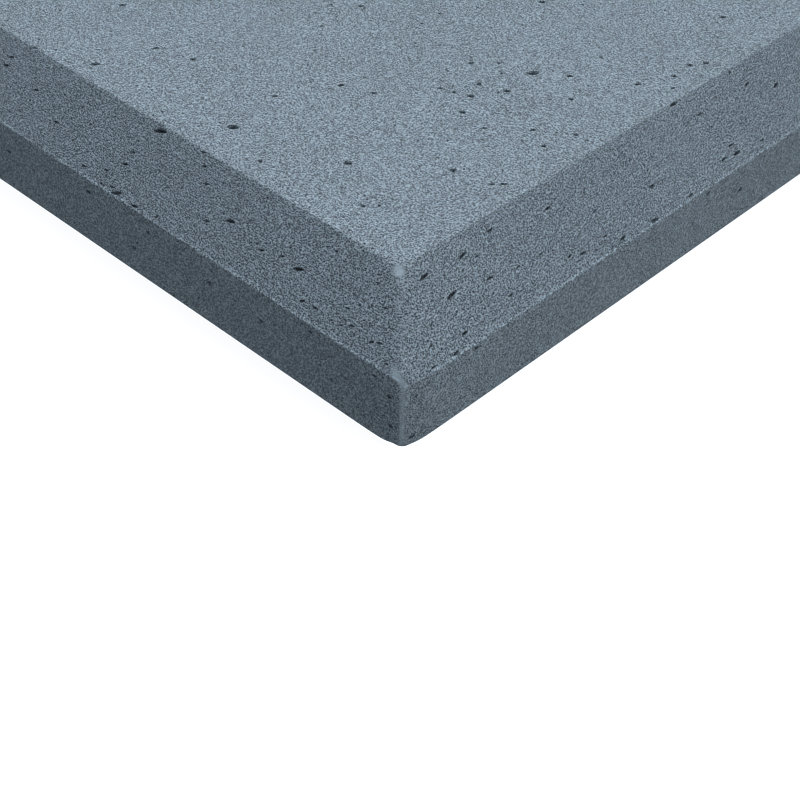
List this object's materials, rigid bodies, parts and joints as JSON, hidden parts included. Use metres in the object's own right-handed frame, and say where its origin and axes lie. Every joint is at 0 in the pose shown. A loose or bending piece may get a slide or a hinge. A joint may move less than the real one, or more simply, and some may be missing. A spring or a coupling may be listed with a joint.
{
  "type": "melamine foam panel",
  "caption": "Square block of open-cell melamine foam with a flat back, square sides and a bevel along each edge of its front face, glued to a wall or casing to absorb sound.",
  "frame": {"origin": "centre of the flat back face", "axes": "+Z out of the bevelled front face; X along the edges with the deeper bevel, Y along those with the shallower one"},
  "size_m": [0.3, 0.3, 0.05],
  "materials": {
    "foam": "cut open-cell melamine foam, blue-grey, dead matt, with scattered voids"
  },
  "bodies": {
    "root": {"foam_panel": "foam"}
  },
  "joints": []
}
